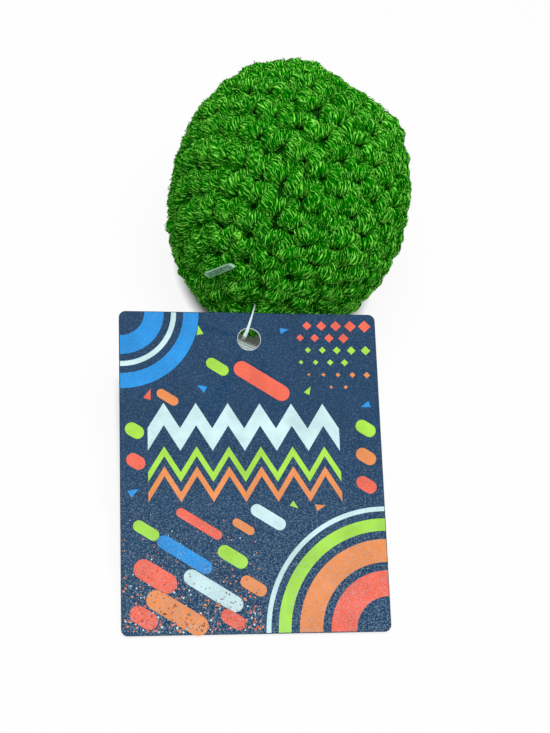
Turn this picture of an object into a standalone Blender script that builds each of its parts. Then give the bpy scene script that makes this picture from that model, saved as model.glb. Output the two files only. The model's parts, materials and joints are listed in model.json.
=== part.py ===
"""Crocheted footbag with a printed hang tag on a clear tag pin.

Units are metres, +Z is up.  The origin is the middle of the small flat
that the filled bag rests on.  The tag leans towards -Y.
"""

import math

import bmesh
import bpy
from mathutils import Matrix, Vector

MM = 0.001

# The bag: half sizes of the stuffed cover before it sags
HALF_ACROSS = 25.36 * MM
HALF_ALONG = 30.9 * MM
HALF_TALL = 24.3 * MM
CENTRE_HEIGHT = 23.5 * MM

# Where the stuffing pushes the cover out (or leaves it slack):
# direction seen from the middle, and how much as a share of the size
SWELL_POWER = 5
swell_directions = (
    (0.97, -0.245, 0.0),
    (0.811, 0.323, 0.489),
    (0.177, 0.701, 0.691),
    (-0.561, 0.669, 0.489),
    (-0.97, 0.245, 0.0),
    (-0.811, -0.323, -0.489),
    (-0.177, -0.701, -0.691),
    (0.561, -0.669, -0.489),
)
swell_shares = (0.011, -0.007, -0.021, -0.011, -0.053, 0.107, 0.051, -0.03)

# The crochet: rounds run about this axis, from the first ring to the last
FIRST_RING_DIRECTION = (-0.508, -0.861, 0.005)
ROUNDS = 15
RINGS_PER_ROUND = 4
SEGMENTS = 48
VALLEY_DEPTH = 0.8 * MM
COVER_WALL = 4.2 * MM
FIRST_RING_DIMPLE = 1.0 * MM

# The drawn-shut end and its yarn
CLOSING_BORE_RADIUS = 2.8 * MM
CLOSING_KNOT_RADIUS = 3.0 * MM
CLOSING_KNOT_RISE = 1.3 * MM
SEAT_GAP = 0.3 * MM

# The loose end of the yarn, as a tube lying on the stitches; its place is
# sideways and up from where the filament leaves the stitches
TAIL_LENGTH = 4.6 * MM
TAIL_RADIUS = 0.65 * MM
TAIL_SIDEWAYS = -3.45 * MM
TAIL_UP = 12.94 * MM
tail_lifts = ((-0.5, 1.4), (-0.25, 1.1), (0.0, 1.0), (0.25, 1.1), (0.5, 1.4))

# The tag pin, one nylon moulding: bar, filament and paddle
BAR_LENGTH = 8.6 * MM
BAR_WIDTH = 1.6 * MM
BAR_THICKNESS = 0.9 * MM
BAR_CORNER = 0.3 * MM
FILAMENT_RADIUS = 0.28 * MM
CHANNEL_RADIUS = 0.62 * MM
STITCH_DEPTH = 2.3 * MM
BAR_LEFT_SIDEWAYS = -9.33 * MM
BAR_LEFT_UP = 1.28 * MM
BAR_RIGHT_SIDEWAYS = -4.19 * MM
BAR_RIGHT_UP = 7.59 * MM
FILAMENT_EXIT_X = -9.7 * MM
FILAMENT_EXIT_BELOW_EDGE = 0.15 * MM
RISE_OVER_EDGE = 0.85 * MM
RISE_AT_BEND = 1.05 * MM
RISE_AT_RIM = 0.8 * MM
PADDLE_LENGTH = 6.8 * MM
PADDLE_WIDTH = 1.9 * MM
PADDLE_THICKNESS = 0.9 * MM
PADDLE_CORNER = 0.25 * MM
PADDLE_TURN = math.radians(-24.0)
PADDLE_GAP = 0.2 * MM

# The tag: a printed card with one punched hole
TAG_WIDTH = 50.8 * MM
TAG_HEIGHT = 62.6 * MM
TAG_THICKNESS = 0.45 * MM
TAG_CORNER = 1.3 * MM
TAG_HOLE_RADIUS = 2.35 * MM
TAG_HOLE_DROP = 5.4 * MM
TAG_LEAN = math.radians(20.0)
TAG_MIDDLE_X = -10.9 * MM
TAG_CLEARANCE = 0.8 * MM
FILAMENT_OFF_HOLE_SIDEWAYS = -1.5 * MM
FILAMENT_OFF_HOLE_DOWN = 0.45 * MM

CORNER_STEPS = 4
AIM_TRIES = 5
LEAST_SHARE = 0.01
FRONT_STEPS = 24
ROUND_SIDES = 24
FILAMENT_STEPS = 8


def clear_scene():
    """Empties the scene of objects."""
    for item in list(bpy.data.objects):
        bpy.data.objects.remove(item, do_unlink=True)


def make_collection(name):
    """A new collection under the scene."""
    group = bpy.data.collections.new(name)
    bpy.context.scene.collection.children.link(group)
    return group


def make_material(name, colour, roughness):
    """A Principled material with one colour."""
    material = bpy.data.materials.new(name)
    material.use_nodes = True
    shader = material.node_tree.nodes["Principled BSDF"]
    shader.inputs["Base Color"].default_value = (*colour, 1.0)
    shader.inputs["Roughness"].default_value = roughness
    shader.inputs["Metallic"].default_value = 0.0
    return material


def add_object(name, body, group, material):
    """Makes one named object from a bmesh."""
    bmesh.ops.recalc_face_normals(body, faces=body.faces)
    data = bpy.data.meshes.new(name)
    body.to_mesh(data)
    body.free()
    item = bpy.data.objects.new(name, data)
    group.objects.link(item)
    if material is not None:
        data.materials.append(material)
    return item


def bag_growth(direction):
    """How many times the plain ellipsoid's size the bag is, one way.

    It grows by each swell share times the cosine of the angle to that
    swell, raised to SWELL_POWER.
    """
    unit = Vector(direction).normalized()
    grow = 1.0
    for aim, share in zip(swell_directions, swell_shares):
        towards = max(0.0, unit.dot(Vector(aim).normalized()))
        grow += share * towards ** SWELL_POWER
    return grow


def bag_point(direction, inset):
    """Point of the stuffed form in one direction, set in from its surface.

    What would hang under the table is flattened on it.
    """
    unit = Vector(direction).normalized()
    grow = bag_growth(unit)
    point = Vector((
        unit.x * (HALF_ACROSS * grow - inset),
        unit.y * (HALF_ALONG * grow - inset),
        unit.z * (HALF_TALL * grow - inset) + CENTRE_HEIGHT,
    ))
    point.z = max(point.z, inset)
    return point


def bag_normal(direction):
    """Outward normal of the plain ellipsoid in one direction."""
    unit = Vector(direction).normalized()
    slope = Vector((
        unit.x / HALF_ACROSS,
        unit.y / HALF_ALONG,
        unit.z / HALF_TALL,
    ))
    return slope.normalized()


def front_aim(x, height):
    """Direction of the bag's front point at one place across and height."""
    grow = 1.0
    for _ in range(AIM_TRIES):
        across = x / (HALF_ACROSS * grow)
        up = (height - CENTRE_HEIGHT) / (HALF_TALL * grow)
        ahead = math.sqrt(max(1.0 - across ** 2 - up ** 2, LEAST_SHARE))
        aim = Vector((across, -ahead, up))
        grow = bag_growth(aim)
    return aim


def front_reach(height):
    """How far the bag comes forward at one height, at its fullest."""
    places = [step / FRONT_STEPS for step in range(-FRONT_STEPS, FRONT_STEPS)]
    return max(
        -bag_point(front_aim(HALF_ACROSS * place * 0.8, height), 0.0).y
        for place in places)


def round_sphere(segments, rings):
    """A UV sphere whose poles are the first and the last ring."""
    body = bmesh.new()
    bmesh.ops.create_uvsphere(
        body, u_segments=segments, v_segments=rings, radius=1.0)
    turn = Vector((0, 0, 1)).rotation_difference(Vector(FIRST_RING_DIRECTION))
    bmesh.ops.rotate(
        body, cent=(0, 0, 0), matrix=turn.to_matrix(), verts=body.verts)
    return body


def valley_inset(direction):
    """How far the cover dips between its rounds, in one direction."""
    axis = Vector(FIRST_RING_DIRECTION).normalized()
    unit = Vector(direction).normalized()
    angle = math.acos(max(-1.0, min(1.0, unit.dot(axis))))
    share = abs(math.sin(angle / math.pi * ROUNDS * math.pi))
    dip = VALLEY_DEPTH * (1.0 - math.sqrt(share))
    pole_share = max(0.0, 1.0 - angle * ROUNDS / math.pi)
    return dip + (FIRST_RING_DIMPLE - VALLEY_DEPTH) * pole_share


def smooth_path(places, steps):
    """Points of one smooth curve through the places (Catmull-Rom)."""
    ends = [places[0] * 2 - places[1]] + places + [places[-1] * 2 - places[-2]]
    points = []
    for i in range(1, len(ends) - 2):
        before, start, end, after = ends[i - 1:i + 3]
        for j in range(steps):
            t = j / steps
            points.append(0.5 * (
                2 * start
                + (end - before) * t
                + (2 * before - 5 * start + 4 * end - after) * t ** 2
                + (3 * start - before - 3 * end + after) * t ** 3
            ))
    points.append(places[-1].copy())
    return points


def tube(name, points, radius, group, material):
    """A closed round tube along the points, as a mesh."""
    line = bpy.data.curves.new(name, "CURVE")
    line.dimensions = "3D"
    line.bevel_depth = radius
    line.bevel_resolution = 1
    line.use_fill_caps = True
    spline = line.splines.new("POLY")
    spline.points.add(len(points) - 1)
    for knot, point in zip(spline.points, points):
        knot.co = (*point, 1.0)
    carrier = bpy.data.objects.new(name + "_line", line)
    group.objects.link(carrier)
    bpy.context.view_layer.update()
    seen = carrier.evaluated_get(bpy.context.evaluated_depsgraph_get())
    body = bmesh.new()
    body.from_mesh(seen.to_mesh())
    seen.to_mesh_clear()
    bpy.data.objects.remove(carrier, do_unlink=True)
    bmesh.ops.remove_doubles(body, verts=body.verts, dist=radius * 0.001)
    return add_object(name, body, group, material)


def rounded_box(size, corner, steps):
    """A box with its edges rounded, about the origin."""
    body = bmesh.new()
    bmesh.ops.create_cube(body, size=1.0)
    bmesh.ops.scale(body, vec=size, verts=body.verts)
    bmesh.ops.bevel(
        body, geom=body.edges[:], offset=corner, segments=steps,
        profile=0.5, affect="EDGES")
    return body


def combine(target, tool, operation):
    """Joins or cuts with an exact boolean, then applies it."""
    change = target.modifiers.new(tool.name, "BOOLEAN")
    change.object = tool
    change.operation = operation
    change.solver = "EXACT"
    bpy.context.view_layer.update()
    seen = target.evaluated_get(bpy.context.evaluated_depsgraph_get())
    data = bpy.data.meshes.new_from_object(seen)
    target.modifiers.clear()
    old = target.data
    target.data = data
    bpy.data.meshes.remove(old)


clear_scene()
part_group = make_collection("footbag")
cutter_group = make_collection("cutters")

green_yarn = make_material("green_yarn", (0.045, 0.42, 0.075), 0.9)
green_yarn_end = make_material("green_yarn_end", (0.06, 0.46, 0.1), 0.9)
green_yarn_tail = make_material("green_yarn_tail", (0.12, 0.55, 0.16), 0.9)
pellets = make_material("white_pellets", (0.8, 0.8, 0.78), 0.5)
clear_nylon = make_material("clear_nylon", (0.75, 0.8, 0.85), 0.25)
clear_nylon_b = make_material("clear_nylon_filament", (0.75, 0.8, 0.85), 0.25)
clear_nylon_c = make_material("clear_nylon_paddle", (0.78, 0.82, 0.86), 0.25)
printed_card = make_material("printed_card", (0.024, 0.058, 0.16), 0.55)

# Crochet cover: a stuffed shell whose rounds stand out as low ridges
shell = round_sphere(SEGMENTS, ROUNDS * RINGS_PER_ROUND)
for vert in shell.verts:
    aim = vert.co.copy()
    point = bag_point(aim, 0.0) - bag_normal(aim) * valley_inset(aim)
    on_table = bag_point(aim, 0.0).z <= 0.0
    vert.co = (point.x, point.y, 0.0 if on_table else max(point.z, 0.0))
cover = add_object("crochet_cover", shell, part_group, green_yarn)

cavity_body = round_sphere(ROUND_SIDES, ROUND_SIDES)
for vert in cavity_body.verts:
    vert.co = bag_point(vert.co, COVER_WALL)
cavity = add_object("cavity_cutter", cavity_body, cutter_group, None)
combine(cover, cavity, "DIFFERENCE")

# The opening where the last round is drawn together
last_ring = -Vector(FIRST_RING_DIRECTION).normalized()
closing_place = bag_point(last_ring, 0.0)
closing_line = bag_normal(last_ring)
closing_turn = Vector((0, 0, 1)).rotation_difference(closing_line).to_matrix()
bore_body = bmesh.new()
bmesh.ops.create_cone(
    bore_body, cap_ends=True, segments=ROUND_SIDES,
    radius1=CLOSING_BORE_RADIUS, radius2=CLOSING_BORE_RADIUS,
    depth=COVER_WALL * 3)
bmesh.ops.rotate(
    bore_body, cent=(0, 0, 0), matrix=closing_turn, verts=bore_body.verts)
bmesh.ops.translate(
    bore_body, vec=closing_place - closing_line * COVER_WALL / 2,
    verts=bore_body.verts)
bore = add_object("closing_bore_cutter", bore_body, cutter_group, None)
combine(cover, bore, "DIFFERENCE")

# Closing yarn: the finished end fills the bore and stands a little proud
profile = (
    (0.0, -COVER_WALL + SEAT_GAP),
    (CLOSING_BORE_RADIUS - SEAT_GAP, -COVER_WALL + SEAT_GAP),
    (CLOSING_BORE_RADIUS - SEAT_GAP, 0.0),
    (CLOSING_KNOT_RADIUS, SEAT_GAP),
    (CLOSING_KNOT_RADIUS, SEAT_GAP + CLOSING_KNOT_RISE * 0.4),
    (CLOSING_KNOT_RADIUS * 0.62, SEAT_GAP + CLOSING_KNOT_RISE),
    (0.0, SEAT_GAP + CLOSING_KNOT_RISE * 0.8),
)
knot_body = bmesh.new()
knot_verts = [knot_body.verts.new((r, 0, z)) for r, z in profile]
knot_edges = [
    knot_body.edges.new(pair) for pair in zip(knot_verts, knot_verts[1:])]
bmesh.ops.spin(
    knot_body, geom=knot_verts + knot_edges, cent=(0, 0, 0), axis=(0, 0, 1),
    angle=math.tau, steps=ROUND_SIDES, use_merge=True)
bmesh.ops.remove_doubles(
    knot_body, verts=knot_body.verts, dist=SEAT_GAP * 0.01)
bmesh.ops.rotate(
    knot_body, cent=(0, 0, 0), matrix=closing_turn, verts=knot_body.verts)
bmesh.ops.translate(knot_body, vec=closing_place, verts=knot_body.verts)
add_object("closing_yarn", knot_body, part_group, green_yarn_end)

# Pellet fill: one mass that fills the cover and sags with it
fill_body = round_sphere(ROUND_SIDES, ROUND_SIDES)
for vert in fill_body.verts:
    vert.co = bag_point(vert.co, COVER_WALL + SEAT_GAP)
add_object("pellet_fill", fill_body, part_group, pellets)

# The tag's own axes: across, up along its face, and out of its face
tag_up = Vector((0, math.cos(TAG_LEAN), math.sin(TAG_LEAN)))
tag_out = Vector((0, -math.sin(TAG_LEAN), math.cos(TAG_LEAN)))
tag_lift = TAG_THICKNESS / 2 * math.cos(TAG_LEAN)
tag_top_height = tag_lift + TAG_HEIGHT * math.sin(TAG_LEAN)
tag_top = Vector((
    TAG_MIDDLE_X,
    -front_reach(tag_top_height) - TAG_CLEARANCE,
    tag_top_height,
))
tag_foot = tag_top - tag_up * TAG_HEIGHT
hole_centre = tag_foot + tag_up * (TAG_HEIGHT - TAG_HOLE_DROP)
tag_turn = Matrix((
    (1, 0, 0),
    (0, tag_up.y, tag_out.y),
    (0, tag_up.z, tag_out.z),
))

# Route of the pin: under the stitches, out, over the tag's edge, through
exit_height = tag_top_height - FILAMENT_EXIT_BELOW_EDGE
exit_aim = front_aim(FILAMENT_EXIT_X, exit_height)
bar_left_aim = front_aim(
    FILAMENT_EXIT_X + BAR_LEFT_SIDEWAYS, exit_height + BAR_LEFT_UP)
bar_right_aim = front_aim(
    FILAMENT_EXIT_X + BAR_RIGHT_SIDEWAYS, exit_height + BAR_RIGHT_UP)
bar_left = bag_point(bar_left_aim, 0.0)
bar_right = bag_point(bar_right_aim, 0.0)
bar_aim = (bar_left_aim + bar_right_aim) / 2
bar_foot = bag_point(bar_aim, 0.0)
bar_normal = bag_normal(bar_aim)
bar_centre = bar_foot + bar_normal * (SEAT_GAP + BAR_THICKNESS / 2)
exit_place = bag_point(exit_aim, 0.0)
through_hole = (
    hole_centre
    + Vector((FILAMENT_OFF_HOLE_SIDEWAYS, 0, 0))
    - tag_up * FILAMENT_OFF_HOLE_DOWN
)
edge_share = 0.36
over_edge = tag_top + tag_out * RISE_OVER_EDGE
over_edge.x = exit_place.lerp(through_hole, edge_share).x
bend_place = (
    over_edge.lerp(through_hole, 0.34)
    + tag_out * (RISE_AT_BEND - RISE_OVER_EDGE * 0.66)
)
near_hole = (
    over_edge.lerp(through_hole, 0.7)
    + tag_out * (RISE_AT_RIM - RISE_OVER_EDGE * 0.3)
)
deep_aim_a = bar_aim.lerp(exit_aim, 0.3)
deep_aim_b = bar_aim.lerp(exit_aim, 0.75)
route = smooth_path([
    bar_centre,
    bar_foot - bar_normal * STITCH_DEPTH * 0.45,
    bag_point(deep_aim_a, STITCH_DEPTH),
    bag_point(deep_aim_b, STITCH_DEPTH),
    exit_place,
    over_edge,
    bend_place,
    near_hole,
    through_hole,
], FILAMENT_STEPS)
bend_index = FILAMENT_STEPS * 6
buried_route = route[:bend_index]
free_route = route[bend_index:]

# Channel for the buried stretch, cut through the stitches
channel_route = route[:FILAMENT_STEPS * 4 + FILAMENT_STEPS // 2]
channel_start = bar_foot + bar_normal * CHANNEL_RADIUS * 3
channel = tube(
    "channel_cutter", [channel_start] + channel_route[1:],
    CHANNEL_RADIUS, cutter_group, None)
combine(cover, channel, "DIFFERENCE")

# Tag pin bar: lies on the stitches, with the filament moulded to it
bar_along = (bar_right - bar_left).normalized()
bar_across = bar_normal.cross(bar_along).normalized()
bar_up = bar_along.cross(bar_across).normalized()
bar_body = rounded_box(
    (BAR_LENGTH, BAR_WIDTH, BAR_THICKNESS), BAR_CORNER, 2)
bmesh.ops.transform(
    bar_body,
    matrix=Matrix((bar_along, bar_across, bar_up)).transposed().to_4x4(),
    verts=bar_body.verts)
bmesh.ops.translate(bar_body, vec=bar_centre, verts=bar_body.verts)
bar = add_object("tag_pin_bar", bar_body, part_group, clear_nylon)
stem = tube(
    "stem_tool", buried_route, FILAMENT_RADIUS, cutter_group, None)
combine(bar, stem, "UNION")

# Free filament: from the bend to the hole; it swings about the bend
bend_axis_place = bend_place
start_gap = free_route[0].lerp(free_route[1], 0.5)
filament = tube(
    "tag_pin_filament", [start_gap] + free_route[1:],
    FILAMENT_RADIUS, part_group, clear_nylon_b)

# Paddle: a flat crossbar behind the hole, with a stub up into it
paddle_centre = through_hole - tag_out * (
    TAG_THICKNESS / 2 + PADDLE_GAP + PADDLE_THICKNESS / 2)
paddle_body = rounded_box(
    (PADDLE_LENGTH, PADDLE_WIDTH, PADDLE_THICKNESS), PADDLE_CORNER, 2)
bmesh.ops.rotate(
    paddle_body, cent=(0, 0, 0), matrix=Matrix.Rotation(PADDLE_TURN, 3, "Z"),
    verts=paddle_body.verts)
bmesh.ops.transform(
    paddle_body, matrix=tag_turn.to_4x4(), verts=paddle_body.verts)
bmesh.ops.translate(paddle_body, vec=paddle_centre, verts=paddle_body.verts)
paddle = add_object(
    "tag_pin_paddle", paddle_body, part_group, clear_nylon_c)
stub_top = through_hole - tag_out * (FILAMENT_RADIUS + SEAT_GAP / 2)
stub = tube(
    "stub_tool", [paddle_centre, stub_top], FILAMENT_RADIUS,
    cutter_group, None)
combine(paddle, stub, "UNION")

# Hang tag: a thin card with rounded corners and one punched hole
card_body = bmesh.new()
bmesh.ops.create_cube(card_body, size=1.0)
bmesh.ops.scale(
    card_body, vec=(TAG_WIDTH, TAG_HEIGHT, TAG_THICKNESS),
    verts=card_body.verts)
upright = [
    edge for edge in card_body.edges
    if abs(edge.verts[0].co.z - edge.verts[1].co.z) > TAG_THICKNESS / 2]
bmesh.ops.bevel(
    card_body, geom=upright, offset=TAG_CORNER, segments=CORNER_STEPS,
    profile=0.5, affect="EDGES")
bmesh.ops.transform(
    card_body, matrix=tag_turn.to_4x4(), verts=card_body.verts)
bmesh.ops.translate(
    card_body, vec=tag_foot + tag_up * TAG_HEIGHT / 2, verts=card_body.verts)
card = add_object("hang_tag", card_body, part_group, printed_card)

punch_body = bmesh.new()
bmesh.ops.create_cone(
    punch_body, cap_ends=True, segments=ROUND_SIDES,
    radius1=TAG_HOLE_RADIUS, radius2=TAG_HOLE_RADIUS,
    depth=TAG_THICKNESS * 4)
bmesh.ops.transform(
    punch_body, matrix=tag_turn.to_4x4(), verts=punch_body.verts)
bmesh.ops.translate(punch_body, vec=hole_centre, verts=punch_body.verts)
punch = add_object("punch_cutter", punch_body, cutter_group, None)
combine(card, punch, "DIFFERENCE")

# Loose end of the yarn: a short tube on the stitches near the first ring
tail_aim = front_aim(FILAMENT_EXIT_X + TAIL_SIDEWAYS, exit_height + TAIL_UP)
tail_middle = bag_point(tail_aim, 0.0)
tail_normal = bag_normal(tail_aim)
tail_side = tail_normal.cross(Vector((0, 0, 1))).normalized()
tail_run = tail_side.cross(tail_normal).normalized()
tail_seat = tail_normal * TAIL_RADIUS
tail = tube("yarn_tail", [
    tail_middle + tail_run * TAIL_LENGTH * share + tail_seat * lift
    for share, lift in tail_lifts
], TAIL_RADIUS, part_group, green_yarn_tail)

for cutter in cutter_group.objects:
    cutter.hide_render = True
    cutter.display_type = "WIRE"

print("bend_axis_mm", [round(v / MM, 3) for v in bend_axis_place])
print("through_hole_mm", [round(v / MM, 3) for v in through_hole])
print("tag_out", [round(v, 5) for v in tag_out])
print("tag_top_mm", [round(v / MM, 3) for v in tag_top])
print("exit_mm", [round(v / MM, 3) for v in exit_place])
print("bar_mm", [round(v / MM, 3) for v in (*bar_left, *bar_right)])
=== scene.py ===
import json
import math

import bpy
import numpy as np
from mathutils import Matrix, Vector


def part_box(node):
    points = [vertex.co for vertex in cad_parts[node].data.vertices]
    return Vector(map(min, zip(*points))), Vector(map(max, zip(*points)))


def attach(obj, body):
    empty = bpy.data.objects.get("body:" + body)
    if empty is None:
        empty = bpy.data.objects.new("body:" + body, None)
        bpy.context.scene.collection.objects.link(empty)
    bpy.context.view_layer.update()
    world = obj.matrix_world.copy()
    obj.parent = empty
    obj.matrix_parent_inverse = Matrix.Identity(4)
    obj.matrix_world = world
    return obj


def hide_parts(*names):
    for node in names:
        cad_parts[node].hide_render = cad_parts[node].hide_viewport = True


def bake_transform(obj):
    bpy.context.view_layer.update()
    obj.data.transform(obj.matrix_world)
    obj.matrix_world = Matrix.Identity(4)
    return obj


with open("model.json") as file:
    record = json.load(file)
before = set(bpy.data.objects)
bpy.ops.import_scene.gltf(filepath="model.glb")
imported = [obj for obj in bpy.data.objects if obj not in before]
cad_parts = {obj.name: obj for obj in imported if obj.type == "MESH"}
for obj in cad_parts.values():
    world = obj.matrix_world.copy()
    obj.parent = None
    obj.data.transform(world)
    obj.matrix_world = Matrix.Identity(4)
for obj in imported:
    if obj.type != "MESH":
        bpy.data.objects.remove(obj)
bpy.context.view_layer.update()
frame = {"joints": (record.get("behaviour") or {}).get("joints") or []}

MM = 0.001


# Crochet cover: one chunky acrylic yarn worked in single crochet in a
# spiral, so each stitch shows as a V of two fat legs that point to the
# first ring.  The yarn is plied from round strands that wind about it.

# The stuffed form that every stitch lies on: a soft ball, a little longer
# than wide, that sags on the flat it rests on
BAG_HALF = np.array([25.9, 30.55, 24.3]) * MM
BAG_MIDDLE = np.array([0.0, 0.0, 23.5]) * MM
SWELL_AIMS = np.array([
    [0.97, -0.245, 0.0], [0.811, 0.323, 0.489], [0.177, 0.701, 0.691],
    [-0.561, 0.669, 0.489], [-0.97, 0.245, 0.0], [-0.811, -0.323, -0.489],
    [-0.177, -0.701, -0.691], [0.561, -0.669, -0.489]])
SWELL_SHARES = np.array([-0.058, 0.011, -0.035, -0.056, -0.088, 0.063, 0.114, -0.006])
SWELL_POWER = 5
# A narrow dent in the stuffing at the upper right
DENT_AIM = np.array([0.534, 0.561, 0.632])
DENT_SHARE = -0.21
DENT_POWER = 40
FIRST_RING_AIM = np.array([-0.508, -0.861, 0.005])
ROUNDS = 15


def unit(vectors):
    """Vectors scaled to a length of one."""
    return vectors / np.linalg.norm(vectors, axis=-1, keepdims=True)


ring_axis = unit(FIRST_RING_AIM)
ring_side = unit(np.cross(ring_axis, [0.0, 0.0, 1.0]))
ring_up = np.cross(ring_axis, ring_side)


def bag_growth(aims):
    """How many times the plain ellipsoid the form is along each aim: one,
    and for each swell and the dent its share times the cosine of the angle
    to it, to a power."""
    towards = np.clip(aims @ unit(SWELL_AIMS).T, 0.0, None)
    to_dent = np.clip(aims @ unit(DENT_AIM), 0.0, None)
    return 1.0 + (towards ** SWELL_POWER) @ SWELL_SHARES + to_dent ** DENT_POWER * DENT_SHARE


def bag_form(aims):
    """The form's points along the aims: the ellipsoid times its growth."""
    aims = unit(aims)
    return BAG_MIDDLE + aims * BAG_HALF * bag_growth(aims)[..., None]


def round_aims(rows, turns):
    """Aims for a height in rounds from the first ring and a share of a
    turn about the ring axis."""
    lean = np.pi * rows / ROUNDS
    about = 2.0 * np.pi * turns
    flat = np.cos(about)[..., None] * ring_side + np.sin(about)[..., None] * ring_up
    return np.sin(lean)[..., None] * flat + np.cos(lean)[..., None] * ring_axis


def bag_surface(aims, lift):
    """Points lifted off the form along its normals, and the normals, which
    are the plain ellipsoid's: the aims divided by the half sizes."""
    normals = unit(unit(aims) / BAG_HALF)
    points = bag_form(aims) + normals * np.asarray(lift)[..., None]
    return points, normals


# The plied yarn; each strand has a valley and a crown, with light painted on the crown and shade
# painted in the valley by its crown value
YARN_RADIUS = 1.6 * MM
STRANDS = 7
STRAND_PROFILE = np.array([0.0, 1.0])
STRAND_DEPTH = 0.32 * MM
DEPTH_CHANGE = 0.4
# Painted light: how pale the crowns are, and how much paler on strands that stand out
CROWN_TONE = 0.85
CROWN_TONE_CHANGE = 0.35
TWIST_LENGTH = 3.4 * MM
WANDER_WAVES = np.array([1.7, 2.9, 5.3]) * MM
WANDER_CALM = 0.8
WANDER_SIDE = 0.3
WANDER_OUT = 0.15 * MM
# The loose fibres that stand off it
FIBRES_PER_STITCH = 84
FIBRE_SECTIONS = 5
FIBRE_SIDES = 3
FIBRE_RADIUS = 0.085 * MM
FIBRE_TIP_SHARE = 0.35
FIBRE_THICKNESS = (0.7, 1.3)
FIBRE_LENGTHS = (0.5 * MM, 1.0 * MM)
FIBRE_LIFT = 0.2 * MM
# How far round the yarn from its outer side a fibre starts, either way
FIBRE_FACING = 1.5
FIBRE_SKEW = 0.55
FIBRE_TONES = (0.6, 1.3)
# Where a fibre reads its material: a strand's number, and a run in mm
FIBRE_STRANDS = 40.0
FIBRE_RUN = 3.0
STITCHES = (6, 12, 18, 24, 30, 30, 30, 30, 30, 30, 30, 24, 18, 12, 6)
# One stitch, as places of the yarn's middle: across and up in shares of
# the stitch and the round, out in mm, and the yarn's share of its radius
STITCH_SHAPE = np.array([
    [-0.50, 0.98, -1.95, 0.86],
    [-0.40, 0.84, -1.65, 0.90],
    [-0.25, 0.62, -1.10, 0.98],
    [-0.15, 0.38, -1.00, 1.02],
    [-0.08, 0.14, -2.05, 0.86],
    [0.00, 0.00, -3.20, 0.68],
    [0.08, 0.14, -2.05, 0.86],
    [0.15, 0.38, -1.00, 1.02],
    [0.25, 0.62, -1.15, 0.98],
    [0.40, 0.84, -1.70, 0.90]])
STEPS_PER_SPAN = (5, 5, 6, 6, 6, 5, 5, 6, 6, 6)
# How much one leg differs from the next: across, in height, up and out
NUDGE_ACROSS, NUDGE_HEIGHT, NUDGE_UP, NUDGE_OUT = 0.03, 0.04, 0.035, 0.2
ROUND_SHIFT = -0.27
POLE_GAP = 0.02
TABLE_GAP = 0.05 * MM
# Painted light and shade: the change of crown value for each mm the yarn lies further out, and
# the height in mm where there is none
SUNK_SHADE_TONE = 0.35
SUNK_SHADE_ABOVE = -1.5
ROUNDS_PER_PIECE = 3


def smooth_between(values, steps):
    """Catmull-Rom values between rows of a table, steps[i] for span i."""
    rows = []
    for i in range(len(values) - 3):
        before, start, end, after = values[i:i + 4]
        span_steps = steps[i % len(steps)]
        for t in np.arange(span_steps) / span_steps:
            rows.append(0.5 * (
                2 * start + (end - before) * t
                + (2 * before - 5 * start + 4 * end - after) * t ** 2
                + (3 * start - before - 3 * end + after) * t ** 3))
    return np.array(rows)


def wander(run, phases):
    """A smooth random value, mostly between -1 and 1, along a length: the
    sum of a sine of each wavelength, with one row of phases a strand, over
    about the root of the number of sines."""
    angles = 2 * np.pi * run[:, None, None] / WANDER_WAVES + phases
    return np.sin(angles).sum(-1) / math.sqrt(len(WANDER_WAVES) * WANDER_CALM)


def yarn_frame(path, outward):
    """The directions square to a path, one nearest to outward and one
    sideways, and the length run along it."""
    ahead = unit(np.gradient(path, axis=0))
    up = unit(outward - np.sum(outward * ahead, 1, keepdims=True) * ahead)
    steps = np.linalg.norm(np.diff(path, axis=0), axis=1)
    return up, np.cross(ahead, up), np.concatenate([[0.0], np.cumsum(steps)])


def rings_along(path, up, side, turn, reach):
    """Rings of points about a path: each lies at its turn from up towards
    side, and at its reach."""
    return (path[..., None, :]
            + (np.cos(turn) * reach)[..., None] * up[..., None, :]
            + (np.sin(turn) * reach)[..., None] * side[..., None, :])


def yarn_tube(path, outward, radii, seed, fineness=1.0):
    """A plied yarn carried along a path.

    Each section is a ring with the strand's profile once for each strand;
    the ring turns with the length run, so that the strands wind about the
    yarn, and each strand wanders a little sideways and in and out.  Plies
    are as deep and as long as the cover yarn's, times the fineness.
    Returns grids, one row a section, of points, crown values, which paint
    light on the strands' crowns and shade in their valleys, and UV places
    (strand, length in mm).
    """
    up, side, run = yarn_frame(path, outward)
    points_each = len(STRAND_PROFILE)
    around = points_each * STRANDS
    crown = np.tile(STRAND_PROFILE, STRANDS)
    draw = np.random.default_rng(seed)
    phases = draw.uniform(0.0, 2 * np.pi, (3, STRANDS, len(WANDER_WAVES)))
    sideways, outwards, sunk = (wander(run, phase) for phase in phases)
    sideways = np.repeat(sideways, points_each, axis=1) * WANDER_SIDE * points_each / 2
    outwards = np.repeat(outwards, points_each, axis=1) * WANDER_OUT * crown
    sunk = np.repeat(sunk, points_each, axis=1)
    sunk = STRAND_DEPTH * fineness * (1.0 + DEPTH_CHANGE * sunk) * (1.0 - crown)
    turn = 2 * np.pi * (np.arange(around)[None, :] + sideways) / around
    turn = turn - 2 * np.pi * run[:, None] / (TWIST_LENGTH * fineness)
    reach = radii[:, None] + outwards - sunk
    points = rings_along(path, up, side, turn, reach)
    # Painted light and shade: crowns pale, valleys dark, strands that stand out paler
    crowns = crown * (CROWN_TONE + CROWN_TONE_CHANGE * outwards / WANDER_OUT)
    place = np.stack(np.broadcast_arrays(
        np.arange(around)[None, :] / points_each, run[:, None] / MM), -1)
    return points, crowns, place


def wall_faces(rows, around):
    """Quads between closed rings of points, one ring a row."""
    i, j = np.meshgrid(np.arange(rows - 1), np.arange(around), indexing="ij")
    k = (j + 1) % around
    return np.stack([
        i * around + j, i * around + k,
        (i + 1) * around + k, (i + 1) * around + j], -1).reshape(-1, 4)


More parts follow.
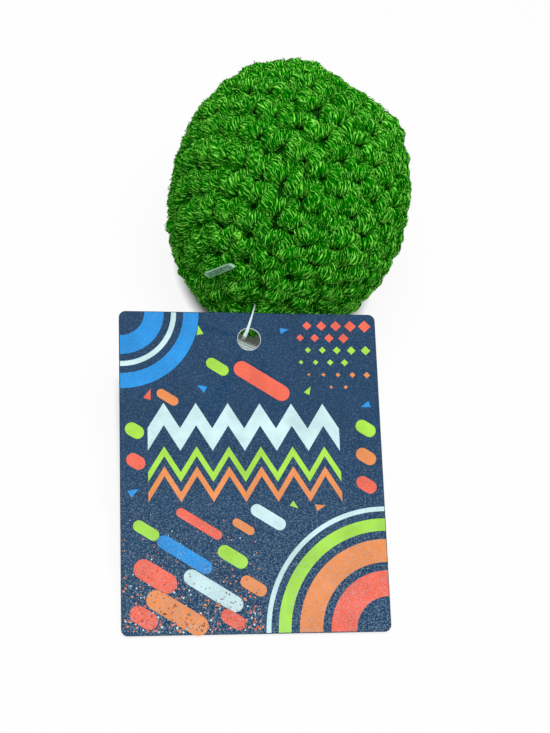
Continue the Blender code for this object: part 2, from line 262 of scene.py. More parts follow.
def tube_faces(rows, around):
    """Faces of a closed tube: its walls and a cap at each end."""
    ring = np.arange(around)
    return [*wall_faces(rows, around).tolist(), ring[::-1].tolist(),
            (ring + (rows - 1) * around).tolist()]


def merge_parts(parts):
    """One array of points and one list of faces from pairs of them."""
    faces = []
    start = 0
    for part_points, part_faces in parts:
        faces += [[corner + start for corner in face] for face in part_faces]
        start += len(part_points)
    return np.concatenate([part_points for part_points, _ in parts]), faces


def loose_fibres(path, outward, radii, count, seed):
    """Fine strands that stand a little off a plied yarn.

    Each is a three-sided tube on a piece of helix about the yarn, whose
    distance from the yarn rises and falls as a half sine and whose turn
    runs ahead of or behind the plies by a random share.
    """
    up, side, run = yarn_frame(path, outward)
    draw = np.random.default_rng(seed)
    points_each = FIBRE_SECTIONS * FIBRE_SIDES
    t = np.linspace(0.0, 1.0, FIBRE_SECTIONS)
    start = draw.uniform(0.0, run[-1], count)
    length = draw.uniform(*FIBRE_LENGTHS, count)
    facing = draw.uniform(-FIBRE_FACING, FIBRE_FACING, count)
    skew = draw.normal(1.0, FIBRE_SKEW, count)
    lift = np.abs(draw.normal(0.0, FIBRE_LIFT, count))
    off_middle = length[:, None] * (t - 0.5)
    at = start[:, None] + off_middle
    turn = facing[:, None] - 2 * np.pi * off_middle * skew[:, None] / TWIST_LENGTH
    bow = np.sin(np.pi * t) * lift[:, None]

    def along(values):
        return np.stack([np.interp(at, run, values[:, axis]) for axis in range(3)], -1)

    radial = np.cos(turn)[..., None] * along(up) + np.sin(turn)[..., None] * along(side)
    reach = np.interp(at, run, radii) + bow - FIBRE_RADIUS
    middle = along(path) + radial * reach[..., None]
    tangent = unit(np.gradient(middle, axis=1))
    across = unit(np.cross(tangent, radial))
    thick = FIBRE_RADIUS * (
        FIBRE_TIP_SHARE + (1.0 - FIBRE_TIP_SHARE) * np.sin(np.pi * t))[None, :]
    thick = thick * draw.uniform(*FIBRE_THICKNESS, (count, 1))
    turn = 2 * np.pi * np.arange(FIBRE_SIDES) / FIBRE_SIDES
    fibres = rings_along(middle, radial, across, turn, thick[..., None])
    one_fibre = tube_faces(FIBRE_SECTIONS, FIBRE_SIDES)
    points, faces = merge_parts([(fibre.reshape(-1, 3), one_fibre) for fibre in fibres])
    crowns = np.repeat(draw.uniform(*FIBRE_TONES, count), points_each)
    place = np.stack([
        np.repeat(draw.uniform(0.0, FIBRE_STRANDS, count), points_each),
        np.repeat(np.tile(t, count), FIBRE_SIDES) * FIBRE_RUN], -1)
    return points, faces, crowns, place


def linear(hex_colour):
    """An sRGB hex colour as linear red, green, blue and full cover."""
    parts = [int(hex_colour[i:i + 2], 16) / 255.0 for i in (1, 3, 5)]
    return tuple(
        p / 12.92 if p <= 0.04045 else ((p + 0.055) / 1.055) ** 2.4
        for p in parts) + (1.0,)


def wire(material, target, links):
    """Links a node's inputs, by name or number, to (node, output) pairs."""
    for name, (source, output) in links.items():
        material.node_tree.links.new(source.outputs[output], target.inputs[name])


def node(material, kind, settings=None, links=None):
    """Adds a shader node, sets its properties and sockets, and links its
    inputs to (node, output) pairs."""
    new = material.node_tree.nodes.new("ShaderNode" + kind)
    for name, value in (settings or {}).items():
        if isinstance(name, str) and hasattr(new, name):
            setattr(new, name, value)
        else:
            new.inputs[name].default_value = value
    wire(material, new, links or {})
    return new


def start_material(name, settings):
    """A new material with its Principled shader's constants set."""
    material = bpy.data.materials.new(name)
    material.use_nodes = True
    shader = material.node_tree.nodes["Principled BSDF"]
    for socket, value in settings.items():
        shader.inputs[socket].default_value = value
    return material, shader


def ramp_stops(ramp, stops):
    """Sets a colour ramp's stops from (place, hex colour) pairs."""
    stops = list(stops)
    elements = ramp.color_ramp.elements
    while len(elements) < len(stops):
        elements.new(0.5)
    for element, (place, colour) in zip(elements, stops):
        element.position = place
        element.color = linear(colour)


# Acrylic fibres are some 0.02 mm thick, too fine to show, so they are drawn
# as streaks 0.3 mm wide (4.6 to a strand) and 0.55 mm long
STREAKS_PER_STRAND = 4.6
STREAKS_PER_MM = 1.8
# Dye takes unevenly, in blotches some 4 mm wide
BLOTCHES_PER_MM = 0.26
# Tone: a start, and the crown (painted light and shade), the streak and the
# blotch times their weights
CROWN_WEIGHT, STREAK_WEIGHT, BLOTCH_WEIGHT, TONE_START = 0.55, 3.8, 0.35, -1.92


def acrylic_yarn(name, tones):
    """Plied acrylic yarn, spun and soft: matt, with fine fibres along each
    strand, painted light on the crowns and painted shade in the gaps."""
    material, shader = start_material(name, {"Roughness": 0.8, "Specular IOR Level": 0.01})
    crown = node(material, "Attribute", {"attribute_name": "crown"})
    place = node(material, "UVMap", {"uv_map": "UVMap"})
    stretch = node(material, "Mapping",
                   {"Scale": (STREAKS_PER_STRAND, STREAKS_PER_MM, 1.0)},
                   {"Vector": (place, "UV")})
    fibres = node(material, "TexNoise",
                  {"Scale": 1.0, "Detail": 1.0, "Roughness": 0.6},
                  {"Vector": (stretch, "Vector")})
    where = node(material, "TexCoord")
    blotch = node(material, "TexNoise",
                  {"Scale": BLOTCHES_PER_MM / MM, "Detail": 2.0},
                  {"Vector": (where, "Object")})
    added = {}
    for pattern, weight in (
            (crown, CROWN_WEIGHT), (fibres, STREAK_WEIGHT), (blotch, BLOTCH_WEIGHT)):
        total = node(
            material, "Math", {"operation": "MULTIPLY_ADD", 1: weight, 2: TONE_START},
            {0: (pattern, "Fac"), **added})
        added = {2: (total, "Value")}
    tone = node(material, "ValToRGB", None, {"Fac": (total, "Value")})
    ramp_stops(tone, zip((0.1, 0.5, 0.78, 1.0), tones))
    bump = node(material, "Bump", {"Strength": 0.9, "Distance": 0.1 * MM},
                {"Height": (fibres, "Fac")})
    wire(material, shader, {"Base Color": (tone, "Color"), "Normal": (bump, "Normal")})
    return material


def mesh_piece(name, points, faces, material, places=None, **values):
    """A shown, smooth mesh object at the origin.  Its places, for the UV
    map, and the other values, which its material reads by name, have one
    entry for each point."""
    data = bpy.data.meshes.new(name)
    data.from_pydata(points.reshape(-1, 3).tolist(), [], faces)
    data.update()
    data.polygons.foreach_set("use_smooth", [True] * len(data.polygons))
    data.materials.append(material)
    for value_name, numbers in values.items():
        attribute = data.attributes.new(value_name, "FLOAT", "POINT")
        attribute.data.foreach_set("value", np.asarray(numbers, np.float32).ravel())
    if places is not None:
        layer = data.uv_layers.new(name="UVMap")
        corners = np.empty(len(data.loops), np.int32)
        data.loops.foreach_get("vertex_index", corners)
        layer.data.foreach_set("uv", places.reshape(-1, 2)[corners].astype(np.float32).ravel())
    piece = bpy.data.objects.new(name, data)
    bpy.context.scene.collection.objects.link(piece)
    return piece


green_yarn = acrylic_yarn(
    "acrylic_yarn_bright_green", ("#005000", "#027C00", "#1CA400", "#94F45C"))

# The yarn's route: the shape of one stitch set across and up in its round,
# leant with the rounds' shift, and with its two legs a little different
random_stitch = np.random.default_rng(7)
yarn_cells = []
for row, count in enumerate(STITCHES):
    for i in range(count):
        nudge = random_stitch.normal(0.0, 1.0, (2, 4))
        leg = (STITCH_SHAPE[:, 0] > 0.0).astype(int)
        cell = STITCH_SHAPE.copy()
        cell[:, 0] += ROUND_SHIFT * cell[:, 1] ** 2 + NUDGE_ACROSS * nudge[leg, 0]
        cell[:, 1] = cell[:, 1] * (1.0 + NUDGE_HEIGHT * nudge[leg, 1]) + NUDGE_UP * nudge[leg, 2]
        cell[:, 2] += NUDGE_OUT * nudge[leg, 3]
        across = (i + 0.5 + cell[:, 0] + ROUND_SHIFT * row) / count
        up_rows = row + (i + 0.5) / count - 0.5 + cell[:, 1]
        yarn_cells.append(np.column_stack([across + row, up_rows, cell[:, 2], cell[:, 3]]))
route = smooth_between(np.concatenate(yarn_cells), STEPS_PER_SPAN)
aims = round_aims(np.clip(route[:, 1], POLE_GAP, ROUNDS - POLE_GAP), route[:, 0])
path, normals = bag_surface(aims, route[:, 2] * MM)
radii = YARN_RADIUS * route[:, 3]
path[:, 2] = np.maximum(path[:, 2], radii + TABLE_GAP)
yarn_points, yarn_crowns, yarn_place = yarn_tube(path, normals, radii, seed=1)
# Painted light and shade: the yarn is paler where it is raised and darker where it sinks into
# the stitches
yarn_crowns = yarn_crowns + SUNK_SHADE_TONE * (route[:, 2:3] - SUNK_SHADE_ABOVE)
stitch_steps = sum(STEPS_PER_SPAN)
row_ends = np.cumsum(STITCHES) * stitch_steps
begin = 0
for last in range(ROUNDS_PER_PIECE, ROUNDS + 1, ROUNDS_PER_PIECE):
    end = min(row_ends[last - 1], len(path) - 1)
    part = slice(begin, end + 1)
    rounds = (yarn_points[part], tube_faces(end + 1 - begin, yarn_points.shape[1]),
              yarn_crowns[part], yarn_place[part])
    fibres = loose_fibres(path[part], normals[part], radii[part],
                          FIBRES_PER_STITCH * (end - begin) // stitch_steps, seed=last)
    for kind, (points, faces, crowns, place) in (("rounds", rounds), ("fibres", fibres)):
        # Nothing goes below the table
        points[..., 2] = np.maximum(points[..., 2], 0.0)
        piece = mesh_piece(
            f"crochet_{kind}_to_{last}", points, faces, green_yarn, place, crown=crowns)
        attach(piece, "bag")
    begin = end


# Inside of the cover: the backs of the stitches and the pellets behind
# them, seen only as depth between the stitches.
CORE_INSET = 2.3 * MM
CORE_OFF_TABLE = 0.6 * CORE_INSET
CORE_ROWS = 60
CORE_AROUND = 96
BACKS_PER_MM = 0.3
# Turns a face of wall_faces over
TURNED = [0, 3, 2, 1]

core_rows, core_turns = np.meshgrid(
    np.linspace(0.0, ROUNDS, CORE_ROWS + 1),
    np.linspace(0.0, 1.0, CORE_AROUND + 1)[:-1], indexing="ij")
core_points, _ = bag_surface(round_aims(core_rows, core_turns), -CORE_INSET)
core_points[..., 2] = np.maximum(core_points[..., 2], CORE_OFF_TABLE)


def clouded_material(name, settings, cloud, stops, relief=None):
    """A material whose tone goes between (place, colour) stops with a soft
    noise over the piece, and whose fine relief, if any, follows it."""
    material, shader = start_material(name, settings)
    where = node(material, "TexCoord")
    clouds = node(material, "TexNoise", cloud, {"Vector": (where, "Object")})
    tone = node(material, "ValToRGB", None, {"Fac": (clouds, "Fac")})
    ramp_stops(tone, stops)
    wire(material, shader, {"Base Color": (tone, "Color")})
    if relief:
        bump = node(material, "Bump", relief, {"Height": (clouds, "Fac")})
        wire(material, shader, {"Normal": (bump, "Normal")})
    return material


# The same acrylic yarn seen from behind: dull, in darker greens that paint
# the shade between the stitches, with the backs of the stitches as paler
# humps some 3 mm apart
inner_yarn = clouded_material(
    "acrylic_yarn_in_shadow", {"Roughness": 0.95, "Specular IOR Level": 0.1},
    {"Scale": BACKS_PER_MM / MM, "Detail": 3.0, "Roughness": 0.6},
    ((0.35, "#063C03"), (0.65, "#0E600A")),
    {"Strength": 0.6, "Distance": 0.3 * MM})
core = mesh_piece(
    "cover_inside", core_points,
    wall_faces(CORE_ROWS + 1, CORE_AROUND)[:, TURNED].tolist(), inner_yarn)
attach(core, "bag")
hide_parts("crochet_cover")


# Closing knot: the yarn's finished end, which draws the last round shut on
# the far side.  It is tied in an overhand knot that sits in the opening.
KNOT_RADIUS = 3.0 * MM
KNOT_YARN = 0.95 * MM
KNOT_RISE = 0.1 * MM
KNOT_STEPS = 120
# How deep and long its plies are, as a share of those of the cover's yarn
KNOT_FINENESS = 0.6

knot_turn = np.linspace(0.0, 2 * np.pi, KNOT_STEPS + 1)
knot_reach = (KNOT_RADIUS - KNOT_YARN) / 3.0
# A trefoil: sin t + 2 sin 2t, cos t - 2 cos 2t, -sin 3t
knot_path = np.column_stack([
    np.sin(knot_turn) + 2 * np.sin(2 * knot_turn),
    np.cos(knot_turn) - 2 * np.cos(2 * knot_turn),
    -np.sin(3 * knot_turn)]) * knot_reach
knot_place, knot_out = bag_surface(-FIRST_RING_AIM, 0.0)
knot_side = unit(np.cross(knot_out, [0.0, 0.0, 1.0]))
knot_frame = np.array([knot_side, np.cross(knot_out, knot_side), knot_out])
knot_path = knot_path @ knot_frame + knot_place + knot_out * KNOT_RISE
knot_points, knot_crowns, knot_uv = yarn_tube(
    knot_path, knot_out, np.full(len(knot_path), KNOT_YARN), seed=21,
    fineness=KNOT_FINENESS)
closing_knot = mesh_piece(
    "closing_knot", knot_points,
    tube_faces(len(knot_path), knot_points.shape[1]), green_yarn,
    knot_uv, crown=knot_crowns)
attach(closing_knot, "bag")
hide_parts("closing_yarn")


# Pellet fill: small moulded plastic pellets poured into the cover, which
# give the bag its weight and let it sag.
PELLET_HALF = np.array([1.7, 1.7, 1.25]) * MM
PELLET_SPACING = 4.3 * MM
LAYER_SHARE = 0.72
PELLET_JITTER = 0.2 * MM
PELLET_RINGS = 4
PELLET_AROUND = 8
FILL_INSET = 6.4 * MM
CLOUDS_PER_MM = 0.4

# Layers of a grid, each second one shifted, with each pellet jittered
half_counts = np.ceil(BAG_HALF / PELLET_SPACING).astype(int) + 1
grid = np.stack(np.meshgrid(
    *[np.arange(-n, n + 1) for n in half_counts], indexing="ij"),
    -1).reshape(-1, 3).astype(float)
grid[:, :2] += 0.5 * (grid[:, 2:] % 2)
grid *= PELLET_SPACING * np.array([1.0, 1.0, LAYER_SHARE])
pellet_draw = np.random.default_rng(5)
grid += pellet_draw.uniform(-1.0, 1.0, grid.shape) * PELLET_JITTER
room = bag_growth(unit(grid / BAG_HALF))[:, None] * BAG_HALF
inside = np.sum((grid / (room - FILL_INSET)) ** 2, axis=1) < 1.0
inside &= grid[:, 2] + BAG_MIDDLE[2] > FILL_INSET
pellet_middles = grid[inside] + BAG_MIDDLE
# One pellet is an ellipsoid: rings between two poles of one point each
lean, about = np.meshgrid(
    np.linspace(0.0, np.pi, PELLET_RINGS + 2),
    np.arange(PELLET_AROUND) * 2 * np.pi / PELLET_AROUND, indexing="ij")
ball = np.stack([
    np.sin(lean) * np.cos(about), np.sin(lean) * np.sin(about),
    np.cos(lean)], -1).reshape(-1, 3)
ball = ball[PELLET_AROUND - 1:1 - PELLET_AROUND] * PELLET_HALF
last_ring = 1 + PELLET_AROUND * (PELLET_RINGS - 1)
ring = [(a, (a + 1) % PELLET_AROUND) for a in range(PELLET_AROUND)]
one_pellet = (
    [[0, 1 + a, 1 + b] for a, b in ring]
    + (1 + wall_faces(PELLET_RINGS, PELLET_AROUND)[:, TURNED]).tolist()
    + [[last_ring + a, len(ball) - 1, last_ring + b] for a, b in ring])
tips = unit(pellet_draw.normal(0.0, 1.0, (len(pellet_middles), 3)))
tip_sides = unit(np.cross(tips, [0.31, 0.95, 0.05]))
tip_frames = np.stack([tip_sides, np.cross(tips, tip_sides), tips], 1)
points, faces = merge_parts([
    (ball @ axes + middle, one_pellet)
    for axes, middle in zip(tip_frames, pellet_middles)])
# Polypropylene, moulded: waxy white with a soft gloss, a little cloudy
pellet_plastic = clouded_material(
    "moulded_polypropylene",
    {"Roughness": 0.38, "IOR": 1.49, "Subsurface Weight": 0.15,
     "Subsurface Scale": 1.0 * MM},
    {"Scale": CLOUDS_PER_MM / MM, "Detail": 2.0},
    ((0.3, "#D9D7CF"), (0.7, "#F4F3EE")))
pellets = mesh_piece("pellets", points, faces, pellet_plastic)
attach(pellets, "bag")
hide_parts("pellet_fill")


# Tag pin: one clear nylon moulding.  Its flat crossbar lies on the
# stitches, its filament runs under them, over the tag and into the hole,
# and its paddle holds the tag from behind.
TAG_LEAN = math.radians(20.0)
TAG_HALF_THICKNESS = 0.225 * MM
# The bar's line on the form, from left to right across and high
BAR_LINE = np.array([[-18.45, 22.98], [-13.75, 29.32]]) * MM
BAR_HALF = np.array([3.9, 0.66, 0.36]) * MM
BAR_SLANT = 0.7
BAR_RISE = 0.75 * MM
FILAMENT_RADIUS = 0.17 * MM
FILAMENT_AROUND = 14
# The width of one of its sides, in mm, in its UV map
FILAMENT_SIDE = 0.12
# Where the filament runs under the stitches: its share of the way from the
# bar to the exit and its depth in mm, square to the bar, then to the exit
UNDER_BAR = ((0.0, -0.2), (0.0, 1.0), (0.3, 1.2))
UNDER_EXIT = ((0.85, 2.2), (1.0, 1.1))
EXIT_PLACE = (-9.6 * MM, 20.2 * MM)
# Where it runs over the card: across, up and out from the joint
OVER_CARD = np.array([[2.4, 5.95, 0.5], [1.75, 3.9, 0.75], [1.15, 2.2, 0.64]]) * MM
# Its root in the paddle: thicker, and beside the joint across and up
ROOT_RADIUS = 0.42 * MM
ROOT_LENGTH = 5.0 * MM
ROOT_SHIFT = np.array([0.6, 0.9, 0.0]) * MM
ROOT_SINK = 0.1 * MM
PADDLE_HALF = np.array([3.4, 0.8, 0.45]) * MM
PADDLE_TURN = math.radians(-24.0)
PADDLE_DROP = 0.55 * MM
PADDLE_GAP = 0.2 * MM
RIB_PLACES = np.array([-0.52, 0.0, 0.52]) * MM
RIB_SHARES = (0.93, 0.1, 0.3)
RIB_RISE = 0.88
STUB_ENDS = (-1.0 * MM, 0.1 * MM)
STUB_STEPS = 8
STUB_SHARE = 0.96
# How bright the paddle's rims are: its body, its ribs and the stub
PADDLE_RIMS = (0.0, 0.8, 0.8, 0.8, 0.3)

joint_places = {joint["name"]: np.array(joint["pos_m"]) for joint in frame["joints"]}
through_hole = joint_places["tag_flap"]
tag_across = np.array([1.0, 0.0, 0.0])
tag_up = np.array([0.0, math.cos(TAG_LEAN), math.sin(TAG_LEAN)])
tag_out = np.array([0.0, -math.sin(TAG_LEAN), math.cos(TAG_LEAN)])
tag_axes = np.array([tag_across, tag_up, tag_out])


def front_point(x, height):
    """The form's front point at one place across and one height, and the
    outward normal there, found by correcting the aim a few times."""
    grow = 1.0
    for _ in range(6):
        across = x / (BAG_HALF[0] * grow)
        up = (height - BAG_MIDDLE[2]) / (BAG_HALF[2] * grow)
        aim = np.array([across, -math.sqrt(1.0 - across ** 2 - up ** 2), up])
        grow = bag_growth(aim)
    return bag_surface(aim, 0.0)


def moulded_bar(half, axes, middle, rows=24, around=20):
    """A flat bar with rounded edges and drawn-in ends.

    Each section is a superellipse of power 4, and the sections shrink
    towards both ends as a superellipse of power 6 along the bar.
    """
    along = np.sin(np.linspace(-0.5, 0.5, rows) * np.pi)
    shrink = np.clip(1.0 - np.abs(along) ** 6, 0.03, 1.0) ** (1.0 / 6.0)
    turn = 2 * np.pi * np.arange(around) / around
    section = np.stack([np.cos(turn), np.sin(turn)], -1)
    section = np.sign(section) * np.abs(section) ** 0.5
    grid = np.empty((rows, around, 3))
    grid[..., 0] = along[:, None] * half[0]
    grid[..., 1:] = section[None] * shrink[:, None, None] * half[1:]
    return (grid @ axes + middle).reshape(-1, 3), tube_faces(rows, around)


def round_tube(path, radii, around, outward):
    """A round tube along a path, with its radius given at each point."""
    up, side, _ = yarn_frame(path, outward)
    turn = 2 * np.pi * np.arange(around) / around
    points = rings_along(path, up, side, turn, radii[:, None])
    return points.reshape(-1, 3), tube_faces(len(path), around)


# Nylon, moulded: see-through with a milky blue-green cast, a soft gloss,
# faint draw lines that run with the flow, and rims that gather the light.
# The lines are 0.2 mm wide and 1.7 mm long, coarser than real ones.
DRAW_LINES_PER_MM = (0.6, 5.0, 1.0)


def clear_nylon(name, cover, tones):
    """Moulded nylon that hides a share of what lies behind it, more at its
    rims and draw lines; reads UV places in mm, along and across."""
    material, shader = start_material(name, {"Roughness": 0.3, "IOR": 1.53})
    place = node(material, "UVMap", {"uv_map": "UVMap"})
    stretch = node(material, "Mapping", {"Scale": DRAW_LINES_PER_MM}, {"Vector": (place, "UV")})
    lines = node(material, "TexNoise", {"Scale": 1.0, "Detail": 3.0},
                 {"Vector": (stretch, "Vector")})
    rim = node(material, "Attribute", {"attribute_name": "rim"})
    bright = node(material, "Math", {"operation": "MULTIPLY_ADD", 1: 0.6},
                  {0: (rim, "Fac"), 2: (lines, "Fac")})
    tone = node(material, "ValToRGB", None, {"Fac": (bright, "Value")})
    ramp_stops(tone, zip((0.35, 0.55, 0.75), tones))
    cloudy = node(material, "MapRange", {
        "From Min": 0.4, "From Max": 0.9, "To Min": cover,
        "To Max": min(cover + 0.5, 1.0)}, {"Value": (bright, "Value")})
    bump = node(material, "Bump", {"Strength": 0.5, "Distance": 0.1 * MM},
                {"Height": (lines, "Fac")})
    wire(material, shader, {
        "Base Color": (tone, "Color"), "Alpha": (cloudy, "Result"),
        "Normal": (bump, "Normal")})
    return material


bar_left, left_normal = front_point(*BAR_LINE[0])
bar_right, right_normal = front_point(*BAR_LINE[1])
bar_along = unit(bar_right - bar_left)
bar_across = unit(np.cross(left_normal + right_normal, bar_along))
bar_axes = np.array([bar_along, bar_across, np.cross(bar_along, bar_across)])
bar_foot, bar_out = front_point(*BAR_LINE.mean(0))
bar_middle = bar_foot + bar_out * BAR_RISE
bar_nylon = clear_nylon("moulded_clear_nylon", 0.3, ("#4F8F74", "#78B494", "#B0DCC4"))
points, faces = moulded_bar(BAR_HALF, bar_axes, bar_middle)
bar_places = (points - bar_middle) @ bar_axes.T
# Its rim is bright at its ends and sides, and its ends lie aslant
bar_rim = np.max(np.abs(bar_places / BAR_HALF)[:, :2] ** (12, 5), axis=1)
points = points - bar_along * bar_places[:, 1:2] * BAR_SLANT
pin_bar = mesh_piece(
    "pin_crossbar", points, faces, bar_nylon, bar_places[:, :2] / MM,
    rim=bar_rim)
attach(pin_bar, "bag")
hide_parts("tag_pin_bar")

# Route: from the bar down through the stitches, out at the exit, straight
# over the tag's edge and past the bend into the hole; the root thickens
exit_place, exit_out = front_point(*EXIT_PLACE)
root_place = through_hole + ROOT_SHIFT @ tag_axes
route_knots = np.array([
    *[bar_foot * (1.0 - share) + exit_place * share - out * depth * MM
      for out, places in ((bar_out, UNDER_BAR), (exit_out, UNDER_EXIT))
      for share, depth in places],
    *(through_hole + OVER_CARD @ tag_axes),
    root_place - tag_out * ROOT_SINK])
route_knots = np.concatenate([
    [2 * route_knots[0] - route_knots[1]], route_knots,
    [2 * route_knots[-1] - route_knots[-2]]])
pin_path = smooth_between(route_knots, (10,))
from_root = np.linalg.norm(pin_path - root_place, axis=1)
root = np.clip(1.0 - from_root / ROOT_LENGTH, 0.0, 1.0)
pin_radii = FILAMENT_RADIUS + (ROOT_RADIUS - FILAMENT_RADIUS) * root
points, faces = round_tube(pin_path, pin_radii, FILAMENT_AROUND, tag_out)
filament_places = np.stack([
    np.repeat(from_root / MM, FILAMENT_AROUND),
    np.tile(np.arange(FILAMENT_AROUND) * FILAMENT_SIDE, len(pin_path))], -1)
filament_nylon = clear_nylon("drawn_clear_nylon", 0.92, ("#D5F0F2", "#E8FCFC", "#FFFFFF"))
pin_filament = mesh_piece(
    "pin_filament", points, faces, filament_nylon, filament_places,
    rim=np.zeros(len(points)))
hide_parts("tag_pin_filament")
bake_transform(pin_filament)


def turned(across, up, angle):
    """Two directions square to each other, turned in their own plane."""
    return (math.cos(angle) * across + math.sin(angle) * up,
            math.cos(angle) * up - math.sin(angle) * across)


# Paddle: a flat bar with three fine ribs and the filament's stub on it
paddle_axes = np.array([*turned(tag_across, tag_up, PADDLE_TURN), tag_out])
paddle_middle = through_hole - tag_up * PADDLE_DROP - tag_out * (
    TAG_HALF_THICKNESS + PADDLE_GAP + PADDLE_HALF[2])
stub_path = root_place + np.linspace(*STUB_ENDS, STUB_STEPS)[:, None] * tag_out
paddle_parts = [moulded_bar(PADDLE_HALF, paddle_axes, paddle_middle)]
for rib_place in RIB_PLACES:
    paddle_parts.append(moulded_bar(
        PADDLE_HALF * RIB_SHARES, paddle_axes,
        paddle_middle + paddle_axes[1] * rib_place
        + tag_out * PADDLE_HALF[2] * RIB_RISE, rows=16, around=12))
paddle_parts.append(round_tube(
    stub_path, np.full(STUB_STEPS, ROOT_RADIUS * STUB_SHARE),
    FILAMENT_AROUND, tag_up))
points, faces = merge_parts(paddle_parts)
paddle_nylon = clear_nylon("ribbed_clear_nylon", 0.4, ("#5A7674", "#7F9A96", "#CBDCDA"))
paddle_places = (points - paddle_middle) @ paddle_axes.T
paddle_rim = np.concatenate([
    np.full(len(part), rim)
    for (part, _), rim in zip(paddle_parts, PADDLE_RIMS)])
pin_paddle = mesh_piece(
    "pin_paddle", points, faces, paddle_nylon, paddle_places[:, :2] / MM,
    rim=paddle_rim)
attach(pin_paddle, "paddle")
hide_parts("tag_pin_paddle")


# Yarn tail: the yarn's cut end near the first ring, paler where its plies
# come apart.
TAIL_PLACE = (-13.0 * MM, 33.6 * MM)
TAIL_TURN = math.radians(42.0)
TAIL_LENGTH = 3.6 * MM
TAIL_TWIST = 0.8
TAIL_LIFT = 1.0 * MM
TAIL_DIP = 2.2 * MM
TAIL_PLIES = 7
TAIL_SPREAD = 0.42 * MM
TAIL_FRAY = 2.0
PLY_RADIUS = 0.27 * MM
PLY_AROUND = 8

pale_yarn = acrylic_yarn("acrylic_yarn_cut_end", ("#0B5A04", "#2A9C14", "#58C428", "#98E454"))
tail_foot, tail_out = front_point(*TAIL_PLACE)
tail_side = unit(np.cross(tail_out, [0.0, 0.0, 1.0]))
tail_run = np.cross(tail_side, tail_out)
tail_run, tail_side = turned(tail_run, tail_side, TAIL_TURN)
# The plies wind about the tail and spread towards its cut end, while its
# other end dips into the stitches; each ply narrows at both ends
along = np.linspace(-0.5, 0.5, 25)
spread = TAIL_SPREAD * (1.0 + TAIL_FRAY * np.clip(along + 0.1, 0.0, None) ** 2)
dip = TAIL_DIP * np.clip(-along - 0.2, 0.0, None)
taper = PLY_RADIUS * np.clip((0.52 - np.abs(along)) * 12.0, 0.25, 1.0)
tail_parts = []
for ply in range(TAIL_PLIES):
    turn = 2 * np.pi * (ply / TAIL_PLIES - along * TAIL_TWIST)
    ply_path = (
        tail_foot + tail_run * (along * TAIL_LENGTH)[:, None]
        + tail_side * (np.sin(turn) * spread)[:, None]
        + tail_out * (TAIL_LIFT + np.cos(turn) * spread - dip)[:, None])
    tail_parts.append(round_tube(ply_path, taper, PLY_AROUND, tail_out))
points, faces = merge_parts(tail_parts)
plies = np.repeat(np.arange(TAIL_PLIES), len(along) * PLY_AROUND)
run = np.tile(np.repeat(along * TAIL_LENGTH / MM, PLY_AROUND), TAIL_PLIES)
# Each ply has a tone and a place in the yarn's pattern of its own
tail = mesh_piece(
    "yarn_cut_end", points, faces, pale_yarn,
    np.stack([plies * 3.1, run], -1), crown=0.75 + 0.25 * np.cos(plies * 2.4))
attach(tail, "bag")
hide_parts("yarn_tail")


# Hang tag: printed card, die-cut with rounded corners and one punched hole.
# Its front is dark blue with a fine grain; its back is plain white board.
TAG_HALF_WIDTH = 25.4 * MM
TAG_HALF_HEIGHT = 31.3 * MM
TAG_CORNER = 1.3 * MM
HOLE_RADIUS = 2.25 * MM
HOLE_UP = 25.9 * MM
HOLE_LIP = 0.10 * MM
# From the joint to the middle of the hole, across and up
HOLE_SHIFT = np.array([1.5, 0.45, 0.0]) * MM
EDGE_ROUND = 0.07 * MM
ARC_STEPS = 8
SIDE_STEPS = 15
BOARD_WHITE = "#EEF1F2"
BOARD_CUT = "#DCE6EA"
# Painted shade: the outer cut edge and the rims beside it are dark, as the edge in shade
EDGE_SHADE = "#1C2B45"
TAG_BLUE = "#09385C"

tag_middle = through_hole + HOLE_SHIFT @ tag_axes - tag_up * HOLE_UP


def tag_places(flat, rise):
    """Places on the tag: across and up from its middle, and out of it."""
    return tag_middle + flat @ tag_axes[:2] + np.asarray(rise)[..., None] * tag_out


def card_outline(inset):
    """The card's outline set in from its edge: four corner arcs, with
    points spaced evenly along the straight sides between them."""
    half = np.array([TAG_HALF_WIDTH, TAG_HALF_HEIGHT]) - inset
    corner = TAG_CORNER - inset
    middles = (half - corner) * np.array([[1, 1], [-1, 1], [-1, -1], [1, -1]])
    arcs = []
    for quarter, middle in enumerate(middles):
        turn = (quarter + np.linspace(0.0, 1.0, ARC_STEPS + 1)) * np.pi / 2
        arcs.append(middle + corner * np.stack([np.cos(turn), np.sin(turn)], -1))
    rows = []
    for arc, following in zip(arcs, arcs[1:] + arcs[:1]):
        share = (np.arange(1, SIDE_STEPS) / SIDE_STEPS)[:, None]
        rows += [arc, arc[-1] * (1 - share) + following[0] * share]
    return np.concatenate(rows)


card_edge = card_outline(0.0)
front_edge = card_outline(EDGE_ROUND)
hole_middle = np.array([0.0, HOLE_UP])
from_hole = unit(card_edge - hole_middle)
hole_edge = hole_middle + from_hole * HOLE_RADIUS
hole_lip = hole_middle + from_hole * (HOLE_RADIUS + HOLE_LIP)
top = TAG_HALF_THICKNESS
wall_top = TAG_HALF_THICKNESS - EDGE_ROUND
# Rings around the board's section, each with its height and the colour from
# it to the next, an ink, the board or the outer edge's painted shade:
# outer wall, front, hole wall and back
rings = [
    (card_edge, -wall_top, EDGE_SHADE), (card_edge, wall_top, EDGE_SHADE),
    (front_edge, top, TAG_BLUE), (hole_lip, top, BOARD_CUT),
    (hole_edge, wall_top, BOARD_CUT), (hole_edge, -wall_top, BOARD_CUT),
    (hole_lip, -top, BOARD_WHITE), (front_edge, -top, EDGE_SHADE)]
count = len(card_edge)
card_points = np.stack([tag_places(flat, rise) for flat, rise, _ in rings])
card_faces = wall_faces(len(rings) + 1, count) % (len(rings) * count)
card_colours = np.repeat([ink for _, _, ink in rings], count)


